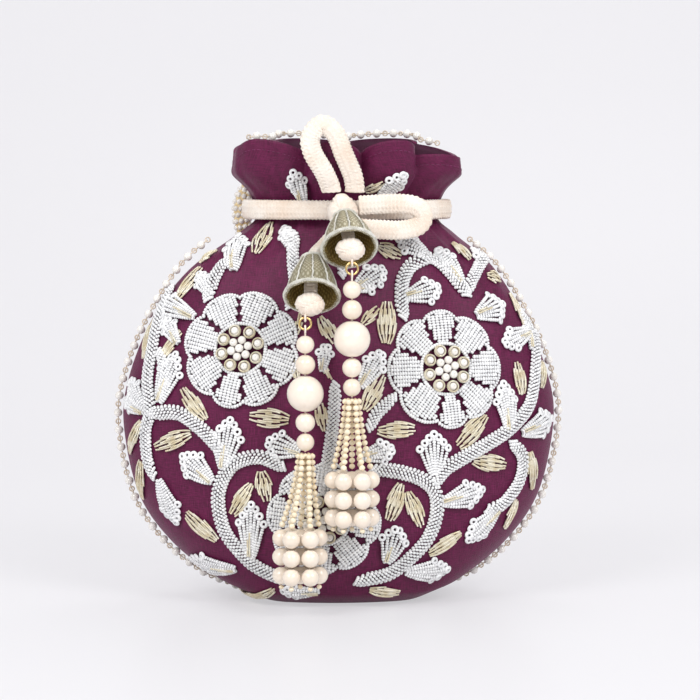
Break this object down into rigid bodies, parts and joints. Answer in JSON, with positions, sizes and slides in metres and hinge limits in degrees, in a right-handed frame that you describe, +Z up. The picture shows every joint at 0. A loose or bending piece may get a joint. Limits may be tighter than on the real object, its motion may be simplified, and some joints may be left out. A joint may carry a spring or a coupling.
{
  "type": "potli bag",
  "caption": "Round drawstring pouch of raw silk with beaded flowers, a pearl-edged seam, a cord bow and hanging pearl tassels.",
  "frame": {"origin": "on the surface that the bag stands on, below the middle of its outline with the tassels and without the loose cords", "axes": "+Z up, +Y to the back of the bag, +X to the right of someone who looks at its embroidered front"},
  "size_m": [0.2068, 0.1317, 0.2215],
  "materials": {
    "maroon_silk": "slubbed raw silk, low sheen",
    "cream_cord": "braided cotton cord",
    "pearl": "ivory pearl",
    "seed_beads": "opaque white seed beads",
    "gold_tissue": "metallic tissue with white stitched seams",
    "gold_wire": "polished gold wire"
  },
  "bodies": {
    "bag": {"front_panel": "maroon_silk", "back_panel": "maroon_silk", "neck_cord": "cream_cord", "bow_knot": "cream_cord", "bow_loop_upper": "cream_cord", "bow_loop_side": "cream_cord", "tail_left": "cream_cord", "tail_right": "cream_cord", "end_knot_left": "cream_cord", "end_knot_right": "cream_cord", "seam_pearl_lace": "pearl", "rim_pearls": "pearl", "flower_heart_left": "pearl", "flower_heart_right": "pearl", "flower_heart_lower": "pearl", "handle_rope": "pearl", "bell_left": "gold_tissue", "bell_right": "gold_tissue", "flower_left": "seed_beads", "flower_right": "seed_beads", "flower_lower": "seed_beads", "vine_left_outer": "seed_beads", "vine_left_inner": "seed_beads", "vine_left_curl": "seed_beads", "vine_left_shoulder": "seed_beads", "vine_right_shoulder": "seed_beads", "vine_right_outer": "seed_beads", "vine_right_lower": "seed_beads", "vine_right_curl": "seed_beads"},
    "ring_left": {"jump_ring_left": "gold_wire"},
    "tassel_left": {"stem_left": "cream_cord", "pearl_left_1": "pearl", "pearl_left_2": "pearl", "pearl_left_3": "pearl", "pearl_left_4": "pearl", "pearl_left_5": "pearl", "strand_left_1": "pearl", "strand_left_2": "pearl", "strand_left_3": "pearl", "strand_left_4": "pearl", "strand_left_5": "pearl", "strand_left_6": "pearl", "strand_left_7": "pearl"},
    "ring_right": {"jump_ring_right": "gold_wire"},
    "tassel_right": {"stem_right": "cream_cord", "pearl_right_1": "pearl", "pearl_right_2": "pearl", "pearl_right_3": "pearl", "pearl_right_4": "pearl", "pearl_right_5": "pearl", "strand_right_1": "pearl", "strand_right_2": "pearl", "strand_right_3": "pearl", "strand_right_4": "pearl", "strand_right_5": "pearl", "strand_right_6": "pearl", "strand_right_7": "pearl"}
  },
  "joints": [
    {"name": "ring_left_swing", "type": "hinge", "parent": "bag", "child": "ring_left", "pos_m": [-0.018, -0.0504, 0.1323], "axis": [0, 1, 0], "range_deg": [0, 30]},
    {"name": "tassel_left_swing", "type": "hinge", "parent": "ring_left", "child": "tassel_left", "pos_m": [-0.018, -0.0504, 0.1271], "axis": [-1, 0, 0], "range_deg": [0, 75]},
    {"name": "ring_right_swing", "type": "hinge", "parent": "bag", "child": "ring_right", "pos_m": [0.0025, -0.0504, 0.1563], "axis": [0, -1, 0], "range_deg": [0, 30]},
    {"name": "tassel_right_swing", "type": "hinge", "parent": "ring_right", "child": "tassel_right", "pos_m": [0.0025, -0.0504, 0.1511], "axis": [-1, 0, 0], "range_deg": [0, 75]}
  ]
}
